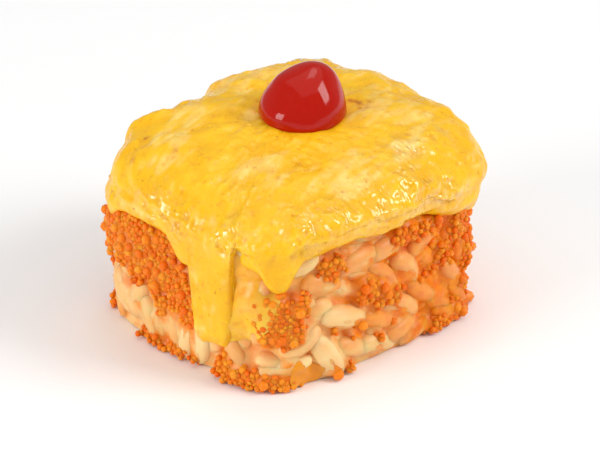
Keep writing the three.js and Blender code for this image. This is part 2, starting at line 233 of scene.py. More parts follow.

# wet, crinkled sauce, pale cream that is dried skin with a painted reflection of the overhead light in part,
# and brown specks where the photo shows them, and a few on the hidden side:
# x, y, z, radius, strength
crinkledSpots = [(-21.7, 2.5, 21.4, 2.6, 1), (-21.6, -2, 21, 2.8, 1), (2.8, -20.7, 23, 5, 1),
                 (7.7, -20.5, 22, 3.5, 1), (-3, -20, 23.4, 4, 0.8), (-14.4, -18.4, 22.5, 3.4, 1),
                 (-9.5, -18.6, 23.8, 3.5, 0.8), (-21, -10.5, 21.4, 3, 0.9), (6.5, -15.5, 26, 3.5, 0.8),
                 (-16, -7.3, 25.4, 3, 0.5), (14, 14, 24, 6, 0.8), (-6, 18, 22, 5, 0.8), (20, 4, 22, 4, 0.7)]
creamAndSheenSpots = [(1, 15.1, 27.4, 4.5, 1), (7.7, 13.1, 28.3, 4, 0.9), (17.4, 4, 27.8, 4.5, 1),
              (12.9, -1.4, 28.4, 3.6, 1), (11.6, -7.5, 27.8, 3.4, 0.9), (6.8, -15, 26.5, 3.4, 1),
              (-1.2, -13.6, 26.6, 3.4, 0.9), (-5.8, -16, 25.7, 2.4, 0.8), (-9.1, 9.8, 27.7, 3.2, 0.9),
              (-14.2, 9.1, 26.6, 3, 0.9), (-18.5, 6.4, 24.8, 2.4, 0.9), (-12, -5.5, 26.8, 2.6, 0.6),
              (-3, 14, 26.5, 3, 0.8)]
brownSpots = [(7.9, -2.5, 28.5, 0.6, 0.8), (8.4, -3.1, 28.5, 0.7, 0.9), (8.6, -4.2, 28.4, 0.7, 1),
              (9.6, -4.1, 28.3, 0.55, 0.8), (7.7, -4.6, 28.3, 0.4, 0.6), (8.2, -5.2, 28.2, 0.4, 0.5),
              (-16.9, -18.3, 20, 0.5, 0.6), (-15.2, 12, 25.7, 0.55, 0.8), (-15.8, 5.4, 26.3, 0.4, 0.8),
              (-18.8, 10.4, 24.1, 0.5, 0.7), (-17.9, -11.9, 24.3, 0.5, 0.5), (-11.8, -10, 26.2, 0.4, 0.5),
              (4, 9, 28.5, 0.5, 0.6), (10, 8, 28.5, 0.6, 0.6), (-8, 15, 26.5, 0.6, 0.7),
              (15, 12, 26.5, 0.5, 0.6)]


# rim height: the usual one less the runs, put together as the cube root of their cubes, with nine small waves
def rimHeight(angle):
    pulls = sum((drop * hump(apart(angle, at), half, blunt)) ** 3 for at, drop, half, blunt in runs)
    return cap["rim"] - np.cbrt(pulls) + 0.35 * np.sin(9 * angle + 0.5)


# how far the widest line hangs: most times drop over drop plus the half-way drop
def sagAt(angle):
    drop = np.maximum(0, cap["rim"] - rimHeight(angle))
    return cap["sagMost"] * drop / (drop + cap["sagHalfAt"])


# how far the sauce is pressed in at the back: a hump round its angle
def pressedIn(angle):
    return cap["pressed"] * hump(apart(angle, cap["pressedAngle"]), cap["pressedHalf"])


# radius of the widest line: the block's and the overhang, more on the side it leans to, less where pressed in
def widestRadius(angle):
    lean = cap["lean"] * np.cos(angle - math.radians(cap["leanAngle"]))
    return outline(angle) + cap["overhang"] + lean - pressedIn(angle)


# crown over the widest line: a superellipse from the middle outwards, higher to the back corner
def crownHeight(angle, radius):
    share = np.minimum(1, radius / widestRadius(angle))
    fullness = (1 - share ** cap["plan"]) ** (1 / cap["section"])
    back = -radius * np.cos(angle - math.radians(core["frontCorner"]))
    top = cap["top"] - cap["widest"] + cap["rise"] * back
    return cap["widest"] + top * fullness - sagAt(angle) * share ** cap["sagReach"]


# the cap's columns: equal steps along the outline, closer over the runs in front
def capColumns(count):
    fine = np.linspace(0, 2 * np.pi, 4001)
    middle = (fine[1:] + fine[:-1]) / 2
    weight = outline(middle) * (1 + hump(apart(middle, cap["closerAngle"]), cap["closerHalf"], 4))
    reached = np.concatenate([[0], np.cumsum(weight)])
    return np.interp(np.arange(count) / count * reached[-1], reached, fine)


# the cap's rings from the crown's middle over the flank and under the lip to a pole inside the block
def capGrid(angle):
    wide, side = widestRadius(angle), outline(angle)
    down = np.linspace(0, 1, cap["crownRows"])[:, None]
    crownRadius = wide * np.sin(down * np.pi / 2)
    crownZ = crownHeight(angle, crownRadius)
    # the flank goes from the overhang in to the rim's thickness
    start = cap["widest"] - sagAt(angle)
    end = np.minimum(start - 0.5, rimHeight(angle) + cap["lip"])
    fromRun = apart(angle, cap["besideRun"])
    beside = ease(fromRun, 2.8, 7.8) * (1 - ease(fromRun, 12, 18))
    between = hump(apart(angle, cap["betweenRuns"]), 9, 4)
    thickness = cap["rimThickness"] - 0.6 * pressedIn(angle) - 0.5 * between - 0.9 * beside
    down = np.linspace(0, 1, cap["flankRows"] + 1)[1:, None]
    flankRadius = mix(wide - side, thickness, ease(down, 0, 1)) + side
    flankZ = mix(start, end, down)
    # the lip is half an oval from the flank's foot in to the block
    down = np.linspace(0, 1, cap["lipRows"] + 1)[1:, None]
    lipRadius = mix(side - 0.4, side + thickness, 0.5 + 0.5 * np.cos(down * np.pi))
    lipZ = end - (end - rimHeight(angle)) * np.sin(down * np.pi)
    radius = stackRows(len(angle), crownRadius, flankRadius, lipRadius, [side - 0.8, side * 0.8, side * 0])
    z = stackRows(len(angle), crownZ, flankZ, lipZ, cap["poleHeight"] - np.array([[2.0], [0], [0]]))
    return ringPoints(angle, radius, z)


# points turned to the sauce's pull and squeezed along it, which draws a pattern out into streaks
def alongPull(points, stretch):
    turn = math.radians(cap["pullAngle"])
    pulled = points.copy()
    pulled[..., 0] = (points[..., 0] * math.cos(turn) + points[..., 1] * math.sin(turn)) / stretch
    pulled[..., 1] = points[..., 1] * math.cos(turn) - points[..., 0] * math.sin(turn)
    return pulled


# soft spots: at each point the strongest of their humps
def spotShare(points, spots):
    share = np.zeros(points.shape[:-1])
    for x, y, z, radius, strength in spots:
        share = np.maximum(share, strength * hump(np.linalg.norm(points - (x, y, z), axis=-1), radius))
    return share


# bubbles where the sauce is crinkled: a dome over the radius, or where burst a pit with a raised edge
def bubbleHeight(rings, crinkled, outsideRows, rng):
    points = rings.reshape(-1, 3)
    height = np.zeros(len(points))
    outside = np.arange(cap["columns"] * 4, outsideRows * cap["columns"])
    chance = (0.12 + crinkled.reshape(-1)[outside]) ** 1.3
    count = cap["bubbles"] + cap["pits"]
    centres = points[rng.choice(outside, count, replace=False, p=chance / chance.sum())]
    radii = rng.uniform(0.32, 0.6, count) * rng.choice([1, 1.5, 0.85], count, p=[0.6, 0.1, 0.3])
    for number, (centre, radius) in enumerate(zip(centres, radii)):
        near = np.nonzero(np.abs(points - centre).max(axis=1) < 1.6 * radius)[0]
        away = np.linalg.norm(points[near] - centre, axis=1) / radius
        shape = np.clip(1 - away ** 2, 0, 1) * 0.26 * radius
        if number >= cap["bubbles"]:
            shape = 0.12 * hump(away - 1.05, 0.28) - 0.4 * radius * hump(away, 0.75, 4)
        stronger = np.abs(shape) > np.abs(height[near])
        height[near] = np.where(stronger, shape, height[near])
    return height.reshape(rings.shape[:2])


# threads of cheese on the crown: one less the squared distance over the half-width, tapered to the ends
def threadHeight(rings, ringsOut, rng):
    points = rings.reshape(-1, 3)
    height = np.zeros(len(points))
    crown = np.arange(cap["columns"] * 8, cap["crownRows"] * cap["columns"])
    seats = rng.choice(crown, cap["threads"], replace=False)
    turn = rng.normal(math.radians(cap["pullAngle"]), 0.35, len(seats))
    reach = rng.uniform(0.9, 2.6, len(seats))[:, None] * ringPoints(turn, 1.0, 0.0)
    out = ringsOut.reshape(-1, 3)[seats]
    reach -= (reach * out).sum(axis=1, keepdims=True) * out
    for start, end in zip(points[seats] - reach, points[seats] + reach):
        inside = (points > np.minimum(start, end) - 1) & (points < np.maximum(start, end) + 1)
        near = np.nonzero(inside.all(axis=1))[0]
        line = end - start
        along = np.clip((points[near] - start) @ line / (line @ line), 0, 1)
        away = np.linalg.norm(points[near] - start - along[:, None] * line, axis=1) / cap["threadHalf"]
        taper = np.sqrt(np.clip(4 * along * (1 - along), 0, 1))
        height[near] = np.maximum(height[near], cap["threadRise"] * taper * np.clip(1 - away ** 2, 0, 1))
    return height.reshape(rings.shape[:2])


# baked cheese sauce: thick and yellow with a satin oven skin, oily and glinting where it is crinkled
def bakedCheeseSauce():
    material, tree, shader = newMaterial("bakedCheeseSauce")
    creamAndSheen, brown, hollowShade, crinkled = (addNode(tree, "Attribute", output="Fac", attribute_name=name)
                                    for name in ("creamAndSheen", "brown", "hollowShade", "crinkled"))
    # pale cream: dried skin, in part a painted reflection of the overhead light
    pale = layColours(tree, cap["creamAndSheen"], (speckle(tree, 2.2, 0.42, 0.6), cap["deeperCreamAndSheen"]))
    paleShare = addNode(tree, "Math", {0: creamAndSheen, 1: speckle(tree, 1.1, 0.2, 0.5)}, operation="MULTIPLY")
    patches = speckle(tree, 5.0, 0.5, 0.64, detail=1.0, most=0.6)
    specks = addNode(tree, "Math", {0: patches, 1: speckle(tree, 0.6, 0.7, 0.78, detail=0.5)},
                     operation="MULTIPLY")
    marks = addNode(tree, "Math", {0: brown, 1: speckle(tree, 0.6, 0.2, 0.5)}, operation="MULTIPLY")
    colour = layColours(tree, cap["yellow"], (speckle(tree, 5.0, 0.4, 0.62), cap["amber"]),
                        # the valley colour laid over the hollows is painted shade
                        (hollowShade, cap["valleyShade"]), (paleShare, pale),
                        (speckle(tree, 0.75, 0.64, 0.74, detail=0.5, most=0.4), cap["freckles"]),
                        (addNode(tree, "Math", {0: specks, 1: marks}, operation="MAXIMUM"), cap["scorched"]))
    dullness = addNode(tree, "Math", {0: crinkled, 1: -0.8, 2: speckle(tree, 1.3, 0.3, 0.7)},
                       operation="MULTIPLY_ADD")
    creases = speckle(tree, 1.4, 0.1, 0.9, detail=1.0, most=6.0, stretch=(1.6, 0.6, 1), turn=-0.5)
    grain = addNode(tree, "Math", {0: crinkled, 1: creases, 2: speckle(tree, 1.0, 0.1, 0.9, detail=0.5)},
                    operation="MULTIPLY_ADD")
    bump = addNode(tree, "Bump", {"Height": grain, "Distance": 0.08 * mm, "Strength": 0.7})
    fill(tree, shader, {
        "Base Color": colour, "Normal": bump, "IOR": 1.42, "Specular IOR Level": 0.38,
        "Roughness": addNode(tree, "MapRange", {"Value": dullness, "From Min": -0.3, "From Max": 0.9,
                                                "To Min": 0.1, "To Max": 0.5}),
        "Coat Weight": addNode(tree, "Math", {0: crinkled, 1: speckle(tree, 1.5, 0.35, 0.55)},
                               operation="MULTIPLY"),
        "Coat Normal": bump, "Coat Roughness": 0.1, "Coat IOR": 1.6,
        "Subsurface Weight": 0.18, "Subsurface Radius": (1.0, 0.6, 0.12), "Subsurface Scale": 1.6 * mm})
    return material


print("cap")
rng = np.random.default_rng(41)
capRings = capGrid(capColumns(cap["columns"]))
capOut = ringNormals(capRings)
capOut[0] = capOut[1].mean(axis=0)
outsideRows = cap["crownRows"] + cap["flankRows"]
crinkled = 1.2 * spotShare(capRings, crinkledSpots) + 0.25 * ease(cloud(capRings, 11, 61), 0.2, 1.4)
crinkled = np.clip(crinkled, 0, 1)
swell = cap["swell"] * cloud(capRings, 8, 42)
streaked = alongPull(capRings, 2.6)
lumps = cap["lumps"] * cloud(streaked, 3.0, 47)
ridges = 0.6 - np.sqrt(waves(alongPull(capRings, 1.6), 2.3, 53) ** 2 + 0.06)   # round backs with soft valleys
ridges = ridges * cap["wrinkles"] * crinkled
bubbles = bubbleHeight(capRings, crinkled, outsideRows, rng)
threads = threadHeight(capRings, capOut, rng)
relief = swell + lumps + ridges + bubbles + threads
lipEnds = [outsideRows, outsideRows + cap["lipRows"] - 1]
fade = np.interp(np.arange(len(capRings)), lipEnds, [1, 0]) ** 1.5   # the relief fades out round the lip
capRings = capRings + (relief * fade[:, None])[..., None] * capOut

# pale cream patches and threads: dried skin and threads, in part a painted reflection of the overhead light
creamAndSheen = 0.95 * spotShare(capRings, creamAndSheenSpots) + 0.3 * cloud(alongPull(capRings, 1.7), 5.5, 71) \
    + 0.14 * waves(streaked, 1.6, 75) + 2.5 * threads
brown = spotShare(capRings, brownSpots) * (0.85 + 0.3 * waves(capRings, 1.1, 79))
# deeper yellow where the relief sinks into hollows: painted shade
hollowShade = np.clip(0.5 - 1.1 * (relief - swell) / 0.25, 0, 1)
makeRingPiece("sauceCap", capRings,
              {"creamAndSheen": ease(creamAndSheen, 0.2, 0.95), "brown": np.clip(brown, 0, 1), "hollowShade": 0.3 * hollowShade,
               "crinkled": crinkled}, bakedCheeseSauce(), "sauce_cap")


# dot of red sauce
dot = dict(x=1.2, y=-0.5, radius=5.7, height=6.6, shoulder=0.5, lean=1.3, leanAngle=-44,
           waist=0.05, waistAngle=150,   # how far it draws in half-way up, most on one side
           columns=96, rows=52, tuckRows=8, red="#B21402")


# the crown's height at a place
def crownAt(x, y):
    return crownHeight(np.arctan2(y, x), np.hypot(x, y))


# half an oval on the crown: radius by the sine, height by the cosine, leaning with the cube of height
def dotGrid():
    angle = np.arange(dot["columns"]) / dot["columns"] * 2 * np.pi
    swing = np.linspace(0, np.pi / 2, dot["rows"])[:, None]
    share = np.sin(swing)
    up = dot["height"] - dot["shoulder"]
    side = 1 + 0.9 * np.cos(angle - math.radians(dot["waistAngle"]))
    body = dot["radius"] * share * (1 - dot["waist"] * hump(np.cos(swing) - 0.55, 0.25) * side)
    rise = dot["shoulder"] + up * np.cos(swing) * (1 + 0.03 * hump(share, 0.22))
    tuck = np.linspace(0, 1, dot["tuckRows"] + 1)[1:, None]   # under the shoulder and into the crown
    radius = stackRows(len(angle), body, dot["radius"] * (1 - 0.12 * tuck ** 2), [[0]])
    height = stackRows(len(angle), rise, dot["shoulder"] * (1 - tuck) - 0.35 * tuck, [[-0.6]])
    foot = crownAt(dot["x"] + radius * np.cos(angle), dot["y"] + radius * np.sin(angle))
    z = mix(crownAt(dot["x"], dot["y"]), foot, np.minimum(1, radius / dot["radius"])) + height
    lean = dot["lean"] * (np.clip(height - dot["shoulder"], 0, None) / up) ** 3
    grid = ringPoints(angle, radius, z)
    grid[..., 0] += dot["x"] + lean * math.cos(math.radians(dot["leanAngle"]))
    grid[..., 1] += dot["y"] + lean * math.sin(math.radians(dot["leanAngle"]))
    return grid


# red chilli sauce: thick and smooth, so it mirrors the lights, and deep red right through
def redChilliSauce():
    material, tree, shader = newMaterial("redChilliSauce")
    height = speckle(tree, 2.2, 0.2, 0.8, detail=1.0)
    fill(tree, shader, {
        "Base Color": hexToLinear(dot["red"]), "Roughness": 0.1, "IOR": 1.4, "Specular IOR Level": 0.4,
        "Normal": addNode(tree, "Bump", {"Height": height, "Distance": 0.05 * mm, "Strength": 0.5}),
        "Subsurface Weight": 0.2, "Subsurface Radius": (1.0, 0.12, 0.05), "Subsurface Scale": 1.2 * mm})
    return material


print("dot")
dotRings = dotGrid()
dotOut = ringNormals(dotRings)
dotOut[[0, -1]] = [[(0, 0, 1)], [(0, 0, -1)]]
dotRings = dotRings + (0.07 * waves(dotRings, 6, 91))[..., None] * dotOut
makeRingPiece("sauceDot", dotRings, {}, redChilliSauce(), "sauce_dot")


# rice
rice = dict(length=7.2, width=3.1, thickness=2.5,            # a usual cooked grain
            spacing=2.15, lift=-0.3, deepSpacing=1.9, deepLift=-0.7, tries=5200, footTries=900,
            lowest=0.7, highest=20,                          # how far down and up the grains' lines go
            sides=9, rings=8, blunt=0.72, bend=0.12,
            cell=0.15, softened=0.42, sunk=0.04,             # how the bed follows the grains
            bedColumns=620, bedRows=100, bedTop=20.9, bedTone=0.35,
            pale="#F3BE74", palest="#FADA9C", dyed="#F69414", deepDyed="#E87004", roeJuice="#E87A0C")

# grains as they lie in the photo: compass angle, height, slope in degrees, length, width, lift, stain
placedGrains = [(238.5, 3.6, -57, 8.0, 3.4, 0.35, 0.02), (277.7, 12.0, -48, 6.6, 3.2, 0.45, 0.12),
                (262.0, 2.4, -12, 7.0, 2.9, 0.1, 0.05), (249.5, 3.4, -22, 6.0, 3.0, 0.0, 0.08),
                (236.0, 14.2, -12, 6.4, 3.2, 0.2, 0.12), (245.0, 8.4, -18, 7.8, 3.4, 0.25, 0.05),
                (262.5, 6.2, -28, 6.2, 3.0, 0.1, 0.45), (252.5, 15.6, 6, 7.2, 3.2, 0.1, 0.42),
                (268.0, 15.9, 10, 6.8, 3.1, 0.1, 0.45), (286.5, 14.6, 30, 6.0, 3.0, 0.3, 0.25),
                (306.5, 6.9, -52, 7.5, 2.9, 0.3, 0.5), (266.0, 12.0, -44, 7.6, 2.6, 0.2, 0.75),
                (261.0, 10.6, -40, 7.2, 2.5, 0.2, 0.8), (288.0, 7.4, -38, 7.4, 2.8, 0.2, 0.7),
                (297.0, 4.9, -42, 7.0, 2.7, 0.2, 0.65), (276.5, 6.4, -26, 7.0, 2.9, 0.1, 0.3),
                (275.0, 3.0, 14, 6.4, 2.9, 0.1, 0.2), (229.0, 6.6, 24, 6.4, 3.1, 0.2, 0.2),
                (158.5, 5.6, 70, 7.4, 3.4, 0.0, 0.0), (164.0, 4.0, -62, 7.4, 3.4, 0.1, 0.0),
                (170.5, 4.4, 78, 7.2, 3.3, 0.0, 0.03), (177.0, 4.8, -74, 7.0, 3.3, 0.1, 0.05),
                (184.5, 3.6, 80, 7.4, 3.4, 0.15, 0.0), (192.0, 3.6, 84, 7.0, 3.2, 0.0, 0.0),
                (150.5, 5.2, -50, 7.0, 3.3, 0.0, 0.1), (208.0, 3.6, -70, 6.6, 3.1, 0.0, 0.15),
                (309.5, 3.6, -46, 7.4, 2.5, 0.55, 0.9), (302.5, 2.2, -28, 7.0, 2.4, 0.5, 0.85)]

# where the roe lies: compass angle, height, half-width in degrees, half-height, strength
roePatches = [(150, 15.2, 6, 3.4, 1), (156, 14.4, 7, 4.0, 1), (163, 13.6, 7, 3.8, 1),
              (170, 12.6, 7, 3.6, 1), (177, 11.4, 6, 3.4, 1), (183, 9.8, 5, 2.8, 1),
              (187.5, 8.3, 4, 2.2, 0.8), (160, 9.4, 5, 1.4, 0.35), (172, 7.6, 4, 1.6, 0.4),
              (168, 0.7, 8, 0.8, 0.7), (180, 0.6, 9, 0.9, 0.9), (205, 2.0, 4, 1.7, 0.8),
              (213, 1.3, 6, 1.5, 1), (220, 0.9, 5, 1.2, 1), (226, 0.6, 3, 0.7, 0.6),
              (221, 10.2, 5, 2.6, 1), (226.5, 8.6, 3, 1.6, 0.8), (229.5, 12.6, 2, 1.8, 0.6),
              (240, 16.2, 4, 1.3, 0.9), (256, 10.9, 5, 1.3, 0.8), (263, 9.6, 4, 1.2, 0.7),
              (270, 9.0, 4, 1.0, 0.6), (276, 17.0, 6, 0.9, 0.6), (289, 16.6, 5, 1.0, 0.5),
              (303, 1.0, 9, 1.3, 1), (311, 3.2, 4, 2.8, 0.9), (308, 14.2, 4, 2.0, 0.9),
              (299, 11.4, 4, 1.6, 0.5), (292, 9.6, 4, 1.0, 0.45), (241.5, 1.0, 1.2, 0.5, 0.6),
              (248, 0.7, 1.2, 0.5, 0.6), (262, 3.8, 1.2, 0.5, 0.5), (251.5, 6.8, 1.5, 0.6, 0.5),
              (241, 7.2, 1.2, 0.5, 0.5), (318, 9, 4, 3, 0.8), (333, 14.6, 9, 2.4, 1),
              (352, 11.0, 7, 2.6, 0.8), (345, 1.0, 12, 1.0, 0.9), (10, 13.6, 8, 3.0, 1),
              (16, 5.0, 6, 1.8, 0.5), (40, 10.5, 7, 2.4, 0.9), (48, 1.2, 9, 1.2, 0.9),
              (62, 13.8, 9, 2.8, 1), (78, 6.4, 6, 2.0, 0.6), (98, 9.0, 6, 1.8, 0.7),
              (112, 13.0, 8, 3.0, 1), (100, 1.0, 12, 1.0, 0.8), (130, 7.0, 6, 2.4, 0.6),
              (138, 12.6, 6, 2.4, 1), (133, 0.9, 7, 0.9, 0.7)]

# the side unrolled: how far round each angle lies, and the table of heights kept on it
fineAngles = np.linspace(0, 2 * np.pi, 2881)
fineSide = ringPoints(fineAngles, outline(fineAngles), 0.0)
fineReach = np.concatenate([[0], np.cumsum(np.linalg.norm(np.diff(fineSide, axis=0), axis=1))])
roundCore = fineReach[-1]
cell = roundCore / round(roundCore / rice["cell"])


# angle of a reach round the side
def toAngle(reach):
    return np.interp(np.mod(reach, roundCore), fineReach, fineAngles)


# reach round the side of an angle
def toReach(angle):
    return np.interp(np.mod(angle, 2 * np.pi), fineAngles, fineReach)


# point of the side, the way along it and the way out, for arrays of reach and height
def sideFrame(reach, z):
    before, here, after = (ringPoints(toAngle(reach + step), outline(toAngle(reach + step)), z)
                           for step in (-0.8, 0, 0.8))
    along = unit(after - before)
    return here, along, np.cross(along, (0, 0, 1))


# share of roe at a place on the side: the strongest of its patches, each a soft oval
def roeShare(angle, z):
    share = 0.0
    for at, height, half, halfUp, strength in roePatches:
        away = (apart(angle, at) / half) ** 2 + ((z - height) / halfUp) ** 2
        share = np.maximum(share, strength * np.exp(-away ** 2 * 0.7))
    return share


# share of orange soaked into the rice: each patch of roe spreads as a soft oval wider than itself, and more
# has soaked in to the right corner, half-way up the right face and on the back
def stainShare(points):
    angle, z = angleOf(points), points[..., 2]
    share = 0.0
    for at, height, half, halfUp, strength in roePatches:
        away = (apart(angle, at) / (half * 1.3)) ** 2 + ((z - height) / (halfUp * 1.35)) ** 2
        share = np.maximum(share, strength * np.exp(-away))
    fromRun = apart(angle, 215)
    base = 0.16 + 0.8 * hump(apart(angle, 306), 24) + 0.42 * ease(fromRun, 18, 40) * ease(z, -6, 10) \
        + 0.2 * ease(np.abs(fromRun), 75, 110) + 0.3 * hump(z - 12, 5) * hump(apart(angle, 284), 26, 4)
    return np.clip(0.85 * share + base + 0.24 * cloud(points, 3.2, 101), 0, 1)


# unit ball of rings from one tip to the other, along X, blunter at the ends than a plain ball
def ballMesh(sides, rings, blunt):
    swing = np.linspace(0, np.pi, rings)[:, None]
    turn = np.arange(sides) / sides * 2 * np.pi
    radius = np.sin(swing) ** blunt
    grid = np.stack(np.broadcast_arrays(np.cos(swing), radius * np.cos(turn), radius * np.sin(turn)), axis=-1)
    return ringList(grid), ringFaces(rings, sides)


# faces of many copies of one small mesh: its triangles, then its quads, each shifted by the points before it
def repeatFaces(faces, size, count):
    shifts = size * np.arange(count)[:, None, None]
    repeated = []
    for corners in (3, 4):
        alike = np.array([face for face in faces if len(face) == corners])
        repeated += (alike + shifts).reshape(-1, corners).tolist()
    return repeated


# five points along a grain's length
def spineOf(reach, z, slope, length):
    share = np.linspace(-1, 1, 5) * 0.5 * (length - 2.6)
    turn = math.radians(slope)
    return np.stack([reach + share * math.cos(turn), z + share * math.sin(turn)], axis=1)


# grains lie along lines on the unrolled side; a new one must keep its spacing from all that lie there
def throwGrains(rng, spacing, lift, first):
    placed = list(first)
    lines = [spineOf(*grain[:4]) for grain in placed]
    for _ in range(rice["tries"]):
        z = rng.uniform(0.4, 19.5)
        grain = (rng.uniform(0, roundCore), z, rng.uniform(-90, 90), rice["length"] * rng.uniform(0.84, 1.06),
                 rice["width"] * rng.uniform(0.86, 1.08), lift + rng.uniform(-0.22, 0.25), -1)
        line = spineOf(*grain[:4])
        if line[:, 1].min() < rice["lowest"] or line[:, 1].max() > rice["highest"]:
            continue
        if lines:
            others = np.concatenate(lines)
            across = np.abs(line[:, None, 0] - others[None, :, 0])
            across = np.minimum(across, roundCore - across)
            if np.hypot(across, line[:, None, 1] - others[None, :, 1]).min() < spacing:
                continue
        placed.append(grain)
        lines.append(line)
    return placed


# middle, axis, way out and size of the side's grains: each axis along its slope, tilted a little outwards
def layOnSide(grains, byHand, rng):
    at, along, out = sideFrame(grains[:, 0], grains[:, 1])
    slope = np.radians(grains[:, 2])[:, None]
    tilt = rng.normal(0, 0.1, len(grains))[:, None]
    tilt[:byHand] *= 0.3
    axis = unit(along * np.cos(slope) + np.array([0, 0, 1]) * np.sin(slope) + tilt * out)
    out = unit(out - (out * axis).sum(axis=1, keepdims=True) * axis)
    thickness = rice["thickness"] * grains[:, 4] / rice["width"]
    size = np.stack([grains[:, 3], grains[:, 4], thickness], axis=1)
    return at + grains[:, 5, None] * out, axis, out, size


# the same for grains lying flat in the cut end: the four points along each keep 2 mm from all others
def layUnderneath(rng):
    places = rng.uniform(-1, 1, (rice["footTries"], 2)) * (core["halfX"], core["halfY"])
    places = places[np.hypot(*places.T) < outline(angleOf(places)) - 1.4]
    turns = rng.uniform(0, np.pi, len(places))
    kept = {}
    for i, (place, turn) in enumerate(zip(places, turns)):
        line = place + np.linspace(-2.1, 2.1, 4)[:, None] * (math.cos(turn), math.sin(turn))
        if all(np.linalg.norm(line[:, None] - other, axis=-1).min() > 2.0 for other in kept.values()):
            kept[i] = line
    places, turns = places[list(kept)], turns[list(kept)]
    at = np.column_stack([places, np.full(len(places), 0.9)])
    axis = unit(np.column_stack([np.cos(turns), np.sin(turns), rng.normal(0, 0.04, len(places))]))
    size = rng.uniform(0.9, 1.05, (len(places), 1)) * (rice["length"], rice["width"], rice["thickness"])
    return at, axis, np.tile([0.0, 0.0, -1.0], (len(places), 1)), size


# grains as points: the unit ball stretched, tapered and bent, then set in its frame
def grainPoints(ball, at, axis, out, size, rng):
    side = np.cross(out, axis)
    x = ball[None, :, 0] * size[:, 0, None] / 2
    bend = rng.uniform(-1, 1, len(size))[:, None] * rice["bend"] * size[:, 1, None]
    taper = 1 + 0.16 * rng.uniform(-1, 1, len(size))[:, None] * ball[None, :, 0]
    y = ball[None, :, 1] * size[:, 1, None] / 2 * taper + bend * (1 - 2 * ball[None, :, 0] ** 2)
    z = ball[None, :, 2] * size[:, 2, None] / 2 * taper
    return at[:, None] + x[..., None] * axis[:, None] + y[..., None] * side[:, None] \
        + z[..., None] * out[:, None]


# cooked short-grain rice: moist and half see-through, so soft-edged and satin, dyed by the roe
def cookedRice():
    material, tree, shader = newMaterial("cookedRice")
    tone, stain, juice = (addNode(tree, "Attribute", output="Fac", attribute_name=name)
                          for name in ("tone", "stain", "roe"))
    dyed = layColours(tree, rice["dyed"], (speckle(tree, 1.6, 0.35, 0.65), rice["deepDyed"]))
    height = speckle(tree, 0.8, 0.2, 0.8)
    fill(tree, shader, {
        "Base Color": layColours(tree, rice["pale"], (tone, rice["palest"]), (stain, dyed),
                                 (juice, rice["roeJuice"])),
        "Normal": addNode(tree, "Bump", {"Height": height, "Distance": 0.06 * mm, "Strength": 0.6}),
        "Roughness": 0.36, "IOR": 1.42, "Specular IOR Level": 0.35,
        "Subsurface Weight": 0.4, "Subsurface Radius": (1.0, 0.5, 0.22), "Subsurface Scale": 1.2 * mm})
    return material


print("rice")
rng = np.random.default_rng(7)
byHand = [(toReach(math.radians(angle)), *rest) for angle, *rest in placedGrains]
sideGrains = throwGrains(rng, rice["spacing"], rice["lift"], byHand)
sideGrains = np.array(sideGrains + throwGrains(rng, rice["deepSpacing"], rice["deepLift"], []))
onSide = layOnSide(sideGrains, len(byHand), rng)
underneath = layUnderneath(rng)
ball, ballFaces = ballMesh(rice["sides"], rice["rings"], rice["blunt"])
grains = np.concatenate([grainPoints(ball, *onSide, rng), grainPoints(ball, *underneath, rng)])
low = 0.6 - grains[..., 2]   # below 0.6 mm the grains are flattened on the table
grains[..., 2] = np.where(low > 0, 0.6 - 0.6 * np.tanh(low / 0.6), grains[..., 2])
ceiling = rimHeight(angleOf(grains)) + 1.2   # and they stay under the cap
grains[..., 2] = np.minimum(grains[..., 2], np.maximum(ceiling, 20.0))

stain = stainShare(grains)
stain[:len(byHand)] = mix(stain[:len(byHand)] * 0.5, 1.0, sideGrains[:len(byHand), 6, None])
tone = np.repeat(rng.uniform(0, 1, len(grains)), len(ball))
stain = np.clip(stain + rng.normal(0, 0.07, (len(grains), 1)), 0, 1)
juice = 0.5 * hump(apart(angleOf(grains), 309), 9)   # orange juice at the right corner
riceMaterial = cookedRice()
makePiece("riceGrains", grains.reshape(-1, 3), repeatFaces(ballFaces, len(ball), len(grains)),
          {"stain": stain.reshape(-1), "tone": tone, "roe": juice.reshape(-1)}, riceMaterial, "rice_block")


# roe: radii in mm
roe = dict(smallest=0.32, largest=0.52, single=0.7, singleShare=0.015, count=4300, tries=120000,
           sink=0.72, highest=1.3,   # how deep an egg sinks in, and how far the heap may stand out
           sides=7, rings=5, deepOrange="#EC6E08", paleOrange="#F99A20")

# eggs that lie alone: compass angle, height, radius
loneEggs = [(241.2, 0.9, 0.82), (241.6, 6.8, 0.6), (251.3, 7.5, 0.55), (250.1, 6.7, 0.5), (263.2, 3.4, 0.55),
            (249.6, 4.9, 0.38), (239.0, 4.7, 0.42), (248.5, 0.6, 0.5), (218.5, 2.1, 0.6), (220.9, 1.3, 0.6),
            (214.4, 1.1, 0.5), (205.5, 3.4, 0.5), (203.9, 2.4, 0.6), (311.1, 3.0, 0.5), (256.5, 5.4, 0.5),
            (270.4, 5.0, 0.55), (178.5, 7.2, 0.55), (166, 6.8, 0.5)]


# raises the table to a dome: an oval's upper half with its top at a height, turned by a slope in radians
def stamp(table, reach, z, half, slope, top):
    window = int(np.ceil(max(half) / cell)) + 1
    row, column = int(reach / cell), int(z / cell)
    rows = np.arange(row - window, row + window + 1)
    columns = np.arange(max(0, column - window), min(table.shape[1], column + window + 1))
    across = rows[:, None] * cell - reach
    up = columns[None, :] * cell - z
    lengthwise = (across * math.cos(slope) + up * math.sin(slope)) / half[0]
    sideways = (up * math.cos(slope) - across * math.sin(slope)) / half[1]
    left = 1 - lengthwise * lengthwise - sideways * sideways
    dome = np.where(left > 0, top - half[2] + half[2] * np.sqrt(np.maximum(left, 0)), -9)
    place = np.ix_(np.mod(rows, table.shape[0]), columns)
    table[place] = np.maximum(table[place], dome)


